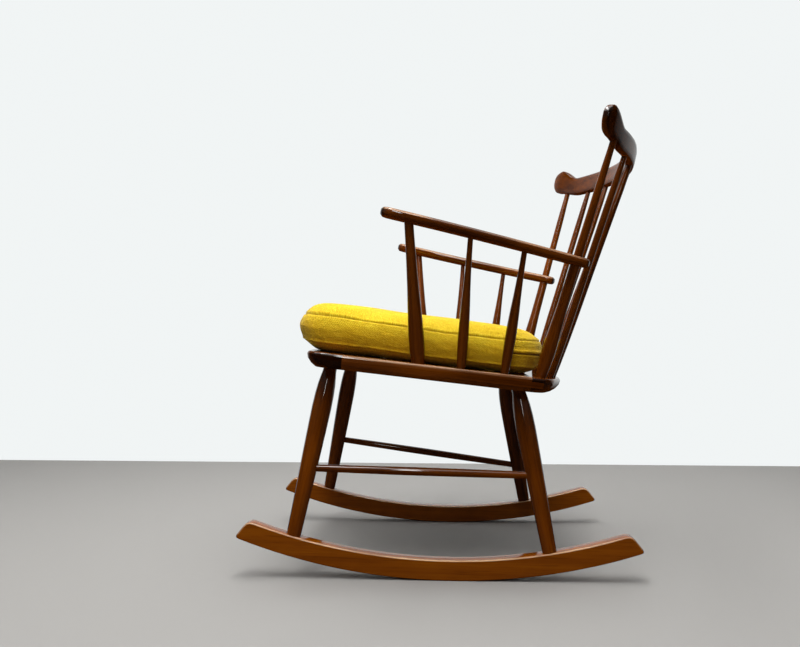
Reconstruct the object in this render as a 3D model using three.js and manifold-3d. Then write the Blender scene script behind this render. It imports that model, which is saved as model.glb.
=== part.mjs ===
// Spindle-back rocking chair with a loose seat cushion, each piece as it leaves the bench.
// Millimetres. +Z is up and the sitter looks along -Y; X runs across the chair.
// While it is drawn, Y is measured from a plumb line through the middle of the seat and Z from the
// floor. The finished group is moved so that its origin lies on the floor under the middle of its box.
import * as THREE from 'three';
import { mergeVertices, toCreasedNormals } from 'three/addons/utils/BufferGeometryUtils.js';
import Module from 'manifold-3d';

const wasm = await Module();
wasm.setup();

// ---------------------------------------------------------------- driving dimensions

const CLEARANCE = 0.3; // glue line round every tenon, and between faces that meet

const rocker = {
  radius: 1090, // of the sole that rolls on the floor
  height: 36,
  thickness: 28,
  halfGauge: 233, // from the middle of the chair to the middle of a rocker
  contactY: 16, // where the sole touches the floor at rest
  frontTipY: -373,
  backTipY: 352.5,
  endSlant: 24, // how far the top corner stands back from the tip
  cornerRound: 11, // at the top corner
  tipRound: 8,
  edgeRound: 2.2,
  facetAngle: THREE.MathUtils.degToRad(1.25),
};

const seat = {
  height: 377, // top face at Y = 0
  pitch: THREE.MathUtils.degToRad(6.7), // the back edge is the lower one
  thickness: 27,
  frontHalf: 252,
  backHalf: 236,
  frontCornerY: -247.5,
  frontBow: 13, // how far the middle of the front edge stands out past its corners
  backCornerY: 195,
  backBow: 41,
  frontCorner: 32,
  backCorner: 44,
  frontSeamY: -180, // where the side rails meet the front rail
  backSeamY: 160,
  openingHalf: 160, // half the space between the side rails
  tenonX: 229,
  tenonWidth: 28,
  tenonThickness: 10,
  tenonLength: 20,
};

const strap = { count: 5, width: 50, thickness: 3, bearing: 16 };

const leg = {
  headX: 185,
  frontFootY: -268,
  frontHeadY: -208.5,
  backFootY: 187.5,
  backHeadY: 138,
  footTenonDiameter: 16,
  footTenon: 20,
  headTenon: 19,
  // share of the length above the rocker, diameter
  stations: [
    [0, 25.6], [0.2, 28.6], [0.42, 32.2], [0.6, 34.6], [0.74, 36.1], [0.84, 34.8],
    [0.91, 31.4], [0.96, 26.4], [0.98, 25], [1, 25],
  ],
};

const stretcher = {
  frontHeight: 192,
  backHeight: 181,
  farBackHeight: 133, // the one on the -X side is let in lower on the back leg
  tenon: 9,
  stations: [[0, 13], [0.25, 14.6], [0.5, 15.4], [0.75, 14.6], [1, 13]],
};

const arm = {
  frontX: 280,
  frontY: -109,
  backY: 260,
  frontHeight: 649, // of the centre line at the front tip
  slope: 0.242, // fall per millimetre towards the back
  frontWidth: 46,
  backWidth: 33,
  frontThickness: 18.5,
  backThickness: 17.5,
};

const armPost = {
  footX: 223,
  footY: -45,
  headY: -59,
  stations: [
    [0, 24], [0.02, 24.1], [0.07, 26.8], [0.15, 28.8], [0.25, 28], [0.35, 26.2],
    [0.46, 23.4], [0.6, 20.4], [0.74, 18.6], [0.87, 17.2], [1, 16.4],
  ],
};

const middleSpindle = {
  footX: 224,
  footY: 32,
  headY: 48,
  stations: [
    [0, 15.4], [0.12, 18.6], [0.24, 19.6], [0.38, 18.4], [0.5, 16.4],
    [0.62, 13.6], [0.74, 11.6], [0.88, 10.2], [1, 9.6],
  ],
};

const rearSpindle = {
  footX: 222,
  footY: 110,
  headY: 143,
  stations: [
    [0, 14.6], [0.14, 18.2], [0.28, 19.8], [0.4, 18.9], [0.52, 16.9],
    [0.63, 14.2], [0.74, 12.2], [0.88, 10.5], [1, 9.9],
  ],
};

const armTenon = { foot: 16, head: 9 };

const back = {
  count: 8, // uprights, the two stiles included
  stileFootX: 195,
  stileFootY: 177,
  middleFootY: 217,
  stileHeadX: 260,
  stileHeadY: 293.5,
  middleHeadY: 371,
  headHeight: 761, // lower edge of the crest rail
  footTenon: 17,
  headTenon: 22,
  boreThroughArm: 15.6, // diameter of the stile where it passes the arm
  // share of the length above the seat, diameter
  stileBelowArm: [[0, 18.6], [0.03, 21], [0.1, 25.6], [0.16, 24.8], [0.25, 21.6], [0.36, 18.6], [0.6, 18.4]],
  stileAboveArm: [[0.7, 14.4], [0.87, 13.6], [0.97, 11.6], [1, 11.4]], // plain up to the first of these
  spindle: [[0, 10.6], [0.09, 12.8], [0.24, 14.4], [0.5, 13], [0.84, 12.8], [0.96, 10.2], [1, 9.8]],
};

const crest = {
  halfLength: 304.5,
  thickness: 18.5,
  lean: THREE.MathUtils.degToRad(12),
  // heights above its lower edge at the middle
  rise: 40,
  earRise: 67,
  earLift: 14,
  sag: 3, // how far the middle hangs below the ends
  earStart: 230, // distance from the middle at which the rail begins to flare
  earFull: 287,
  tipRound: 21,
  tipShare: 0.37, // share of an ear's height, from its top, at which its tip stands out most
};

const cushion = {
  frontHalf: 214,
  backHalf: 196,
  frontCornerY: -264,
  frontBow: 30,
  backCornerY: 170,
  backBow: 24,
  corner: 44,
  lowerSeam: 17,
  upperSeam: 66,
  crown: 92,
};

// ---------------------------------------------------------------- finishes

const finish = (name, color, roughness) =>
  new THREE.MeshStandardMaterial({ name, color, roughness, metalness: 0 });
const stainedBeech = () => finish('stained_beech', 0x4a1d0a, 0.3);
const litBeech = () => finish('stained_beech_rocker', 0x6b2e0f, 0.32);
const jute = () => finish('webbing', 0xa58a5c, 0.9);
const yellowWool = () => finish('yellow_wool', 0xd8b50a, 0.95);

// ---------------------------------------------------------------- solids

const point = (x, y, z) => new THREE.Vector3(x, y, z);
const smooth = (low, high, value) => THREE.MathUtils.smoothstep(value, low, high);

/** Closed solid from any closed three.js geometry. */
function solidFrom(geometry, matrix = new THREE.Matrix4()) {
  const bare = geometry.clone().applyMatrix4(matrix);
  bare.deleteAttribute('normal');
  bare.deleteAttribute('uv');
  const welded = mergeVertices(bare);
  const index = welded.index.array;
  const corners = [];
  for (let i = 0; i < index.length; i += 3) {
    const [a, b, c] = index.subarray(i, i + 3);
    if (a !== b && b !== c && c !== a) corners.push(a, b, c);
  }
  return new wasm.Manifold(new wasm.Mesh({
    numProp: 3,
    vertProperties: Float32Array.from(welded.attributes.position.array),
    triVerts: Uint32Array.from(corners),
  }));
}

/** three.js geometry of a solid. */
function geometryFrom(solid) {
  const { vertProperties, triVerts } = solid.getMesh();
  const geometry = new THREE.BufferGeometry();
  geometry.setAttribute('position', new THREE.BufferAttribute(vertProperties, 3));
  geometry.setIndex(new THREE.BufferAttribute(triVerts, 1));
  return geometry;
}

/** Box between two corners, placed by a matrix. */
function block(low, high, matrix) {
  const size = high.clone().sub(low);
  const box = new THREE.BoxGeometry(size.x, size.y, size.z);
  const middle = low.clone().add(high).multiplyScalar(0.5);
  box.translate(middle.x, middle.y, middle.z);
  return solidFrom(box, matrix);
}

/** Skin over rings of equal length, anticlockwise as seen from the last ring, with both ends fanned. */
function loft(rings) {
  const count = rings[0].length;
  const middleOf = (ring) => ring.reduce((sum, p) => sum.add(p), point(0, 0, 0)).divideScalar(count);
  const vertices = [...rings.flat(), middleOf(rings[0]), middleOf(rings.at(-1))];
  const index = [];
  for (let i = 0; i < count; i += 1) {
    const next = (i + 1) % count;
    for (let row = 0; row < rings.length - 1; row += 1) {
      const below = row * count;
      const above = below + count;
      index.push(below + i, below + next, above + next, below + i, above + next, above + i);
    }
    const last = (rings.length - 1) * count;
    index.push(next, i, vertices.length - 2);
    index.push(last + i, last + next, vertices.length - 1);
  }
  const geometry = new THREE.BufferGeometry().setFromPoints(vertices);
  geometry.setIndex(index);
  return geometry;
}

/** Rounded section: a superellipse in the plane of two unit vectors. */
function section(centre, across, up, halfWidth, halfHeight, squareness, count = 16) {
  const ring = [];
  for (let i = 0; i < count; i += 1) {
    const angle = (2 * Math.PI * (i + 0.5)) / count;
    const bend = (value) => Math.sign(value) * Math.abs(value) ** (2 / squareness);
    ring.push(centre.clone()
      .addScaledVector(across, halfWidth * bend(Math.cos(angle)))
      .addScaledVector(up, halfHeight * bend(Math.sin(angle))));
  }
  return ring;
}

/** Piece turned on the lathe between two points, its ends run on as round tenons. */
function turned(foot, head, stations, tenons, rings = 11, sides = 14) {
  const length = foot.distanceTo(head);
  const direction = head.clone().sub(foot).normalize();
  const turn = new THREE.Quaternion().setFromUnitVectors(point(0, 1, 0), direction);
  const frame = new THREE.Matrix4().compose(foot, turn, point(1, 1, 1));
  const shape = new THREE.SplineCurve(
    stations.map(([share, diameter]) => new THREE.Vector2(diameter / 2, share * length)),
  );
  const lathe = (outline) => solidFrom(new THREE.LatheGeometry(outline, sides), frame);
  const bar = (radius, low, high) => lathe([
    new THREE.Vector2(0, low), new THREE.Vector2(radius, low),
    new THREE.Vector2(radius, high), new THREE.Vector2(0, high),
  ]);
  const footRadius = stations[0][1] / 2;
  const headRadius = stations.at(-1)[1] / 2;
  const solid = lathe([
    new THREE.Vector2(0, -tenons.foot),
    new THREE.Vector2(footRadius, -tenons.foot),
    ...shape.getPoints(rings),
    new THREE.Vector2(headRadius, length + tenons.head),
    new THREE.Vector2(0, length + tenons.head),
  ]);
  return { solid, frame, length, bar, footRadius, headRadius, tenons };
}

const BORE_START = 9; // a bit starts this far outside the face that it enters

/** Bore for the foot tenon of a turned piece. */
function footBore(member, radius = member.footRadius, depth = member.tenons.foot) {
  return member.bar(radius + CLEARANCE, -depth - CLEARANCE, BORE_START);
}

/** Bore for the head tenon of a turned piece. */
function headBore(member) {
  const end = member.length + member.tenons.head + CLEARANCE;
  return member.bar(member.headRadius + CLEARANCE, member.length - BORE_START, end);
}

// ---------------------------------------------------------------- heights that pieces share

const seatFrame = new THREE.Matrix4()
  .makeTranslation(0, 0, seat.height)
  .multiply(new THREE.Matrix4().makeRotationX(-seat.pitch));
const seatTop = (y) => seat.height - y * Math.tan(seat.pitch);
const seatUnderside = (y) => seatTop(y) - seat.thickness / Math.cos(seat.pitch);
const rockerTop = (y) =>
  rocker.radius - Math.sqrt((rocker.radius - rocker.height) ** 2 - (y - rocker.contactY) ** 2);
const armCentre = (y) => arm.frontHeight - arm.slope * (y - arm.frontY);
const armShare = (y) => (y - arm.frontY) / (arm.backY - arm.frontY);
const armThickness = (y) => THREE.MathUtils.lerp(arm.frontThickness, arm.backThickness, armShare(y));
const armUnderside = (y) => armCentre(y) - (armThickness(y) / 2) * Math.hypot(1, arm.slope);

const stileFoot = (side) => point(side * back.stileFootX, back.stileFootY, seatTop(back.stileFootY));
const stileHead = (side) => point(side * back.stileHeadX, back.stileHeadY, back.headHeight);

/** Where a stile crosses the centre line of its arm. */
function stileAtArm(side) {
  const foot = stileFoot(side);
  const run = stileHead(side).sub(foot);
  const share = (armCentre(foot.y) - foot.z) / (run.z + arm.slope * run.y);
  return foot.addScaledVector(run, share);
}

/** Distance of an arm's centre line from the middle of the chair. */
function armX(y) {
  const crossing = stileAtArm(1);
  const share = (y - arm.frontY) / (crossing.y - arm.frontY);
  return arm.frontX - (arm.frontX - crossing.x) * share * Math.abs(share);
}

const crestY = (x) =>
  back.middleHeadY - (back.middleHeadY - back.stileHeadY) * (x / back.stileHeadX) ** 2;
const crestHeight = (x) => back.headHeight - crest.sag * Math.max(0, 1 - (x / crest.earStart) ** 2);

// ---------------------------------------------------------------- pieces

const pieces = new Map();

function add(name, solid, material, frame = new THREE.Matrix4()) {
  pieces.set(name, { solid, material, frame });
}

function cut(name, tool) {
  const piece = pieces.get(name);
  piece.solid = piece.solid.subtract(tool);
}

const sideName = (side) => (side > 0 ? 'right' : 'left');

/** Sole with one level facet at the floor, slanted ends and softened edges. */
function makeRocker(side) {
  const { radius, height, contactY } = rocker;
  const along = (r, angle) => new THREE.Vector2(contactY + r * Math.sin(angle), radius - r * Math.cos(angle));
  const angleAt = (y, r) => Math.asin((y - contactY) / r);
  const inner = radius - height;
  const sole = [];
  const front = angleAt(rocker.frontTipY, radius);
  const end = angleAt(rocker.backTipY, radius);
  const half = rocker.facetAngle / 2;
  const firstStep = Math.ceil((front - half) / rocker.facetAngle) + 1;
  const lastStep = Math.floor((end - half) / rocker.facetAngle) - 1;
  for (let step = firstStep; step <= lastStep; step += 1) {
    sole.push(along(radius, step * rocker.facetAngle + half));
  }
  const frontTop = along(inner, angleAt(rocker.frontTipY + rocker.endSlant, inner));
  const backTop = along(inner, angleAt(rocker.backTipY - rocker.endSlant, inner));
  const frontRunOn = along(inner, angleAt(rocker.frontTipY + rocker.endSlant + rocker.cornerRound, inner));
  const backRunOn = along(inner, angleAt(rocker.backTipY - rocker.endSlant - rocker.cornerRound, inner));
  const frontTip = along(radius, front);
  const backTip = along(radius, end);
  const near = (from, to, distance) => from.clone().lerp(to, distance / from.distanceTo(to));
  const shape = new THREE.Shape(sole);
  const round = (corner, before, after) => {
    shape.lineTo(before.x, before.y);
    shape.quadraticCurveTo(corner.x, corner.y, after.x, after.y);
  };
  round(backTip, near(backTip, sole.at(-1), rocker.tipRound), near(backTip, backTop, rocker.tipRound));
  round(backTop, near(backTop, backTip, rocker.cornerRound), backRunOn);
  const topStart = angleAt(backRunOn.x, inner);
  const topEnd = angleAt(frontRunOn.x, inner);
  const topSteps = 20;
  for (let step = 1; step < topSteps; step += 1) {
    const spot = along(inner, THREE.MathUtils.lerp(topStart, topEnd, step / topSteps));
    shape.lineTo(spot.x, spot.y);
  }
  round(frontTop, frontRunOn, near(frontTop, frontTip, rocker.cornerRound));
  round(frontTip, near(frontTip, frontTop, rocker.tipRound), near(frontTip, sole[0], rocker.tipRound));
  const geometry = new THREE.ExtrudeGeometry(shape, {
    depth: rocker.thickness - 2 * rocker.edgeRound,
    curveSegments: 3,
    bevelThickness: rocker.edgeRound,
    bevelSize: rocker.edgeRound,
    bevelOffset: -rocker.edgeRound,
    bevelSegments: 1,
  });
  geometry.translate(0, 0, rocker.edgeRound - rocker.thickness / 2);
  const upright = new THREE.Matrix4().makeBasis(point(0, 1, 0), point(0, 0, 1), point(1, 0, 0));
  const frame = new THREE.Matrix4().makeTranslation(side * rocker.halfGauge, 0, 0).multiply(upright);
  add(`rocker_${sideName(side)}`, solidFrom(geometry, frame), litBeech(), frame);
}

/** Plan outline with bowed front and back edges and rounded corners. */
function plan({ frontHalf, backHalf, frontCornerY, frontBow, backCornerY, backBow, frontCorner, backCorner }) {
  const shape = new THREE.Shape();
  const frontX = frontHalf - frontCorner;
  const backX = backHalf - backCorner;
  shape.moveTo(-frontX, frontCornerY);
  shape.quadraticCurveTo(0, frontCornerY - 2 * frontBow, frontX, frontCornerY);
  shape.quadraticCurveTo(frontHalf, frontCornerY + 2, frontHalf, frontCornerY + frontCorner);
  shape.lineTo(backHalf, backCornerY - backCorner);
  shape.quadraticCurveTo(backHalf, backCornerY - 2, backX, backCornerY + backBow / 4);
  const crown = backCornerY + backBow / 4 + (backBow * 3 / 4) / 0.75;
  shape.bezierCurveTo(backX * 0.45, crown, -backX * 0.45, crown, -backX, backCornerY + backBow / 4);
  shape.quadraticCurveTo(-backHalf, backCornerY - 2, -backHalf, backCornerY - backCorner);
  shape.lineTo(-frontHalf, frontCornerY + frontCorner);
  shape.quadraticCurveTo(-frontHalf, frontCornerY + 2, -frontX, frontCornerY);
  return shape.getPoints(5).slice(0, -1);
}

/** Solid built up from a plan outline drawn in at several heights: [height, side inset, end inset]. */
function stacked(outline, levels) {
  const box = new THREE.Box2().setFromPoints(outline);
  const centre = box.getCenter(new THREE.Vector2());
  const half = box.getSize(new THREE.Vector2()).multiplyScalar(0.5);
  return solidFrom(loft(levels.map(([height, sideInset, endInset]) => outline.map(({ x, y }) => point(
    centre.x + (x - centre.x) * (1 - sideInset / half.x),
    centre.y + (y - centre.y) * (1 - endInset / half.y),
    height,
  )))), seatFrame);
}

/** Four rails of the seat frame, sawn from one shaped outline and tenoned together. */
function makeSeatFrame() {
  const depth = seat.thickness;
  const blank = stacked(plan(seat), [
    [-depth, 5, 18],
    [-depth * 0.76, 1.2, 9],
    [-depth * 0.46, 0, 2.2],
    [-depth * 0.18, 0, 0],
    [-depth * 0.05, 1.2, 1.4],
    [0, 4, 4.5],
  ]);
  const far = 400;
  const slab = (lowX, lowY, highX, highY) =>
    block(point(lowX, lowY, -far), point(highX, highY, far), seatFrame);
  add('seat_front_rail', blank.intersect(slab(-far, -far, far, seat.frontSeamY)), stainedBeech(), seatFrame);
  add('seat_back_rail', blank.intersect(slab(-far, seat.backSeamY, far, far)), stainedBeech(), seatFrame);
  const tenonTop = -(depth - seat.tenonThickness) / 2;
  for (const side of [1, -1]) {
    const low = Math.min(side * seat.openingHalf, side * far);
    const high = Math.max(side * seat.openingHalf, side * far);
    const rail = blank.intersect(
      slab(low, seat.frontSeamY + CLEARANCE, high, seat.backSeamY - CLEARANCE),
    );
    const tongue = (grow) => block(
      point(
        side * seat.tenonX - seat.tenonWidth / 2 - grow,
        seat.frontSeamY - seat.tenonLength - grow,
        tenonTop - seat.tenonThickness - grow,
      ),
      point(
        side * seat.tenonX + seat.tenonWidth / 2 + grow,
        seat.backSeamY + seat.tenonLength + grow,
        tenonTop + grow,
      ),
      seatFrame,
    );
    const inner = side * (seat.openingHalf - 1);
    const outer = side * (seat.openingHalf + strap.bearing + CLEARANCE);
    const rebate = block(
      point(Math.min(inner, outer), -far, -strap.thickness - 2 * CLEARANCE),
      point(Math.max(inner, outer), far, 1),
      seatFrame,
    );
    add(`seat_side_rail_${sideName(side)}`, rail.add(tongue(0)).subtract(rebate), stainedBeech(), seatFrame);
    cut('seat_front_rail', tongue(CLEARANCE));
    cut('seat_back_rail', tongue(CLEARANCE));
  }
}

/** Webbing straps across the seat opening, their ends let into the side rails. */
function makeStraps() {
  const run = seat.backSeamY - seat.frontSeamY;
  const gap = (run - strap.count * strap.width) / (strap.count + 1);
  const reach = seat.openingHalf + strap.bearing;
  for (let i = 0; i < strap.count; i += 1) {
    const low = seat.frontSeamY + gap + i * (strap.width + gap);
    const bottom = -strap.thickness - CLEARANCE;
    const round = strap.thickness / 2;
    const shape = new THREE.Shape();
    shape.moveTo(low + round, bottom);
    shape.lineTo(low + strap.width - round, bottom);
    shape.absarc(low + strap.width - round, bottom + round, round, -Math.PI / 2, Math.PI / 2);
    shape.lineTo(low + round, bottom + strap.thickness);
    shape.absarc(low + round, bottom + round, round, Math.PI / 2, 1.5 * Math.PI);
    const geometry = new THREE.ExtrudeGeometry(shape, { depth: 2 * reach, curveSegments: 3, bevelEnabled: false });
    geometry.translate(0, 0, -reach);
    const across = new THREE.Matrix4().makeBasis(point(0, 1, 0), point(0, 0, 1), point(1, 0, 0));
    const frame = seatFrame.clone().multiply(across);
    add(`seat_strap_${i + 1}`, solidFrom(geometry, frame), jute(), frame);
  }
}

/** Turned leg, scribed to the curve of its rocker, with a thinner tenon below the shoulder. */
function makeLeg(side, end) {
  const footY = end === 'front' ? leg.frontFootY : leg.backFootY;
  const headY = end === 'front' ? leg.frontHeadY : leg.backHeadY;
  const foot = point(side * rocker.halfGauge, footY, rockerTop(footY));
  const head = point(side * leg.headX, headY, seatUnderside(headY));
  const overrun = 10;
  const member = turned(foot, head, leg.stations, { foot: overrun, head: leg.headTenon });
  const sole = pieces.get(`rocker_${sideName(side)}`).solid;
  const broadSole = sole.translate([-overrun, 0, CLEARANCE]).add(sole.translate([overrun, 0, CLEARANCE]));
  const tenonRadius = leg.footTenonDiameter / 2;
  const tenon = member.bar(tenonRadius, -leg.footTenon, overrun);
  const name = `leg_${end}_${sideName(side)}`;
  add(name, member.solid.subtract(broadSole).add(tenon), stainedBeech(), member.frame);
  cut(`rocker_${sideName(side)}`, footBore(member, tenonRadius, leg.footTenon));
  cut(end === 'front' ? 'seat_front_rail' : `seat_side_rail_${sideName(side)}`, headBore(member));
  return { foot, head, member };
}

/** Point on the axis of a leg at a height. */
function onLeg({ foot, head }, height) {
  return foot.clone().lerp(head, (height - foot.z) / (head.z - foot.z));
}

/** Radius of a leg at a height, read from its turning stations. */
function legRadius({ foot, head }, height) {
  const share = (height - foot.z) / (head.z - foot.z);
  const above = leg.stations.findIndex(([at]) => at >= share);
  const [lowShare, lowDiameter] = leg.stations[above - 1];
  const [highShare, highDiameter] = leg.stations[above];
  const part = (share - lowShare) / (highShare - lowShare);
  return THREE.MathUtils.lerp(lowDiameter, highDiameter, part) / 2;
}

/** Side stretcher between a front and a back leg. */
function makeStretcher(side, frontLeg, backLeg) {
  const backHeight = side > 0 ? stretcher.backHeight : stretcher.farBackHeight;
  const frontAxis = onLeg(frontLeg, stretcher.frontHeight);
  const backAxis = onLeg(backLeg, backHeight);
  const run = backAxis.clone().sub(frontAxis).normalize();
  const foot = frontAxis.addScaledVector(run, legRadius(frontLeg, stretcher.frontHeight));
  const head = backAxis.addScaledVector(run, -legRadius(backLeg, backHeight));
  const tenons = { foot: stretcher.tenon, head: stretcher.tenon };
  const member = turned(foot, head, stretcher.stations, tenons, 6, 10);
  add(`stretcher_${sideName(side)}`, member.solid, stainedBeech(), member.frame);
  cut(`leg_front_${sideName(side)}`, footBore(member));
  cut(`leg_back_${sideName(side)}`, headBore(member));
}

/** Flat stick arm, bowed in plan, broader in front, round at both ends. */
function makeArm(side) {
  const rings = [];
  const stations = [0.004, 0.014, 0.032, 0.06, 0.14, 0.28, 0.44, 0.6, 0.74, 0.86, 0.94, 0.97, 0.986, 0.996];
  const span = arm.backY - arm.frontY;
  for (const share of stations) {
    const y = arm.frontY + share * span;
    const width = THREE.MathUtils.lerp(arm.frontWidth, arm.backWidth, smooth(0.1, 0.9, share));
    const fromEnd = Math.min(share, 1 - share) * span;
    const roundOff = (reach) => Math.sqrt(1 - Math.max(0, 1 - fromEnd / reach) ** 2);
    const slide = armX(y + 1) - armX(y);
    const along = point(side * slide, 1, -arm.slope).normalize();
    const up = point(0, arm.slope, 1).normalize();
    const across = new THREE.Vector3().crossVectors(up, along).normalize();
    const halfWidth = (width / 2) * roundOff(width / 2);
    const halfHeight = (armThickness(y) / 2) * roundOff(armThickness(y) * 0.45);
    rings.push(section(point(side * armX(y), y, armCentre(y)), across, up, halfWidth, halfHeight, 2.9, 12));
  }
  add(`arm_${sideName(side)}`, solidFrom(loft(rings)), stainedBeech());
}

/** Turned support between the side rail and the underside of the arm. */
function makeArmSupport(name, side, spec, rings, sides) {
  const foot = point(side * spec.footX, spec.footY, seatTop(spec.footY));
  const head = point(side * armX(spec.headY), spec.headY, armUnderside(spec.headY));
  const member = turned(foot, head, spec.stations, armTenon, rings, sides);
  add(`${name}_${sideName(side)}`, member.solid, stainedBeech(), member.frame);
  cut(`seat_side_rail_${sideName(side)}`, footBore(member));
  cut(`arm_${sideName(side)}`, headBore(member));
}

/** Curved crest rail, leaning with the back, its ends flared into rounded ears. */
function makeCrest() {
  const body = crest.halfLength - crest.tipRound;
  const half = [18, 55, 92, 129, 165, 198].filter((x) => x < crest.earStart - 20);
  for (let i = 0; i <= 9; i += 1) half.push(THREE.MathUtils.lerp(crest.earStart - 14, body, i / 9));
  for (const degrees of [18, 36, 52, 66, 80]) {
    half.push(body + crest.tipRound * Math.sin(THREE.MathUtils.degToRad(degrees)));
  }
  const xs = [...half.map((x) => -x).reverse(), 0, ...half];
  const up = point(0, Math.sin(crest.lean), Math.cos(crest.lean));
  const rings = xs.map((x) => {
    const reach = Math.abs(x);
    const flare = smooth(crest.earStart, crest.earFull, reach);
    const top = crestHeight(x) + THREE.MathUtils.lerp(crest.rise, crest.earRise, flare);
    const dip = smooth(crest.earStart - 12, crest.earFull + 6, reach);
    const bottom = crestHeight(x) + THREE.MathUtils.lerp(0, crest.earLift, dip);
    const round = Math.sqrt(1 - (Math.max(0, reach - body) / crest.tipRound) ** 2);
    const middle = top - (top - bottom) * THREE.MathUtils.lerp(crest.tipShare, 0.5, round);
    const centre = point(x, crestY(x) + (middle - back.headHeight) * Math.tan(crest.lean), middle);
    const tangent = point(1, crestY(x + 1) - crestY(x), 0).normalize();
    const normal = new THREE.Vector3().crossVectors(up, tangent).normalize();
    const halfHeight = ((top - bottom) / 2 / Math.cos(crest.lean)) * round;
    const halfThickness = (crest.thickness / 2) * (0.35 + 0.65 * round);
    return section(centre, normal, up, halfThickness, halfHeight, 4, 12);
  });
  add('crest_rail', solidFrom(loft(rings)), stainedBeech());
}

/** Stiles and spindles of the back, fanned between the seat and the crest rail. */
function makeUprights() {
  const middle = (back.count - 1) / 2;
  const tenons = { foot: back.footTenon, head: back.headTenon };
  for (let i = 0; i < back.count; i += 1) {
    const share = (i - middle) / middle;
    const footY = back.middleFootY - (back.middleFootY - back.stileFootY) * Math.abs(share) ** 3;
    const foot = point(share * back.stileFootX, footY, seatTop(footY));
    const headX = share * back.stileHeadX;
    const head = point(headX, crestY(headX), crestHeight(headX));
    if (Math.abs(share) === 1) {
      makeStile(share, foot, head, tenons);
    } else {
      const member = turned(foot, head, back.spindle, tenons, 8, 10);
      add(`back_spindle_${i}`, member.solid, stainedBeech(), member.frame);
      cut('seat_back_rail', footBore(member));
      cut('crest_rail', headBore(member));
    }
  }
}

/** Outer post of the back: it runs through the arm, which rests on a shoulder scribed to its underside. */
function makeStile(side, foot, head, tenons) {
  const armName = `arm_${sideName(side)}`;
  const plain = [0, 0.56].map((share) => [share, back.boreThroughArm]);
  const thin = turned(foot, head, [...plain, ...back.stileAboveArm], tenons, 9, 14);
  const thick = turned(foot, head, back.stileBelowArm, tenons, 9, 14);
  const crossing = stileAtArm(side);
  const armUp = new THREE.Matrix4()
    .makeTranslation(crossing.x, crossing.y, crossing.z)
    .multiply(new THREE.Matrix4().makeRotationX(-Math.atan(arm.slope)));
  const lowered = pieces.get(armName).solid.translate([0, 0, -CLEARANCE]);
  const above = block(point(-100, -100, 0), point(100, 100, 600), armUp);
  const lower = thick.solid.subtract(above).subtract(lowered);
  const core = thin.solid.subtract(block(point(-100, -100, -600), point(100, 100, -20), armUp));
  add(`stile_${sideName(side)}`, lower.add(core), stainedBeech(), thin.frame);
  const bore = back.boreThroughArm / 2 + CLEARANCE;
  const at = foot.distanceTo(crossing);
  cut(armName, thin.bar(bore, at - 40, at + 40));
  cut('seat_back_rail', footBore(thick));
  cut('crest_rail', headBore(thin));
}

/** Loose box cushion, as a plain closed form of its outer size. */
function makeCushion() {
  const outline = plan({ ...cushion, frontCorner: cushion.corner, backCorner: cushion.corner });
  const { lowerSeam, upperSeam, crown } = cushion;
  add('seat_cushion', stacked(outline, [
    [CLEARANCE, 16, 22],
    [lowerSeam * 0.4, 6, 9],
    [lowerSeam, 1, 2],
    [(lowerSeam + upperSeam) / 2, 0, 0],
    [upperSeam, 2, 3],
    [upperSeam + (crown - upperSeam) * 0.6, 22, 26],
    [crown, 90, 100],
  ]), yellowWool(), seatFrame);
}

// ---------------------------------------------------------------- assembly

makeSeatFrame();
makeStraps();
makeCrest();
for (const side of [1, -1]) {
  makeRocker(side);
  const frontLeg = makeLeg(side, 'front');
  const backLeg = makeLeg(side, 'back');
  makeStretcher(side, frontLeg, backLeg);
  makeArm(side);
  makeArmSupport('arm_post', side, armPost, 9, 14);
  makeArmSupport('arm_spindle_middle', side, middleSpindle, 8, 10);
  makeArmSupport('arm_spindle_rear', side, rearSpindle, 8, 10);
}
makeUprights();
makeCushion();

const chair = new THREE.Group();
for (const [name, { solid, material, frame }] of pieces) {
  const geometry = geometryFrom(solid).applyMatrix4(frame.clone().invert());
  const mesh = new THREE.Mesh(toCreasedNormals(geometry, THREE.MathUtils.degToRad(35)), material);
  mesh.name = name;
  mesh.applyMatrix4(frame);
  chair.add(mesh);
}

chair.updateMatrixWorld(true);
const bounds = new THREE.Box3().setFromObject(chair, true);
chair.position.set(0, -(bounds.min.y + bounds.max.y) / 2, -bounds.min.z);

export default chair;
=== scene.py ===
"""Looks of a spindle-back rocking chair with a loose boxed cushion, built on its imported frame.

Metres, +Z up, the sitter looks along -Y. The wooden nodes of the frame keep their shape and are
smoothed and finished here. The cushion and the webbing are made anew.
"""

import logging
import math
from dataclasses import dataclass, field
from enum import Enum

import bpy
from mathutils import Matrix, Vector, noise


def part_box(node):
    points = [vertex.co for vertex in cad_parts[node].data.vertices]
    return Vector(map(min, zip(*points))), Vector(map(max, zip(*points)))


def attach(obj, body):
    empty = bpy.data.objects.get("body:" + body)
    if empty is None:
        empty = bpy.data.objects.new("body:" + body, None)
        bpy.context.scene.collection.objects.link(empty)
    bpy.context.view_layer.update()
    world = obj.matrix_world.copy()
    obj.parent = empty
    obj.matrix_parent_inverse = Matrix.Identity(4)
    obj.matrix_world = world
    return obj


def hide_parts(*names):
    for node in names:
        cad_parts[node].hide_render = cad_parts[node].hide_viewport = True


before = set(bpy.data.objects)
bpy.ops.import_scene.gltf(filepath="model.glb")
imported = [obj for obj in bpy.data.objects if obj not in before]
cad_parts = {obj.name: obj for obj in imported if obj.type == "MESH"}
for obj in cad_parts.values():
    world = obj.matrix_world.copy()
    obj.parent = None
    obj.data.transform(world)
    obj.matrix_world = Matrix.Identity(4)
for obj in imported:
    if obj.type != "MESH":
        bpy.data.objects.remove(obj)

log = logging.getLogger("rocking_chair")

Colour = tuple[float, float, float, float]
Triple = tuple[float, float, float]
Socket = bpy.types.NodeSocket
Piece = bpy.types.Object

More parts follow.
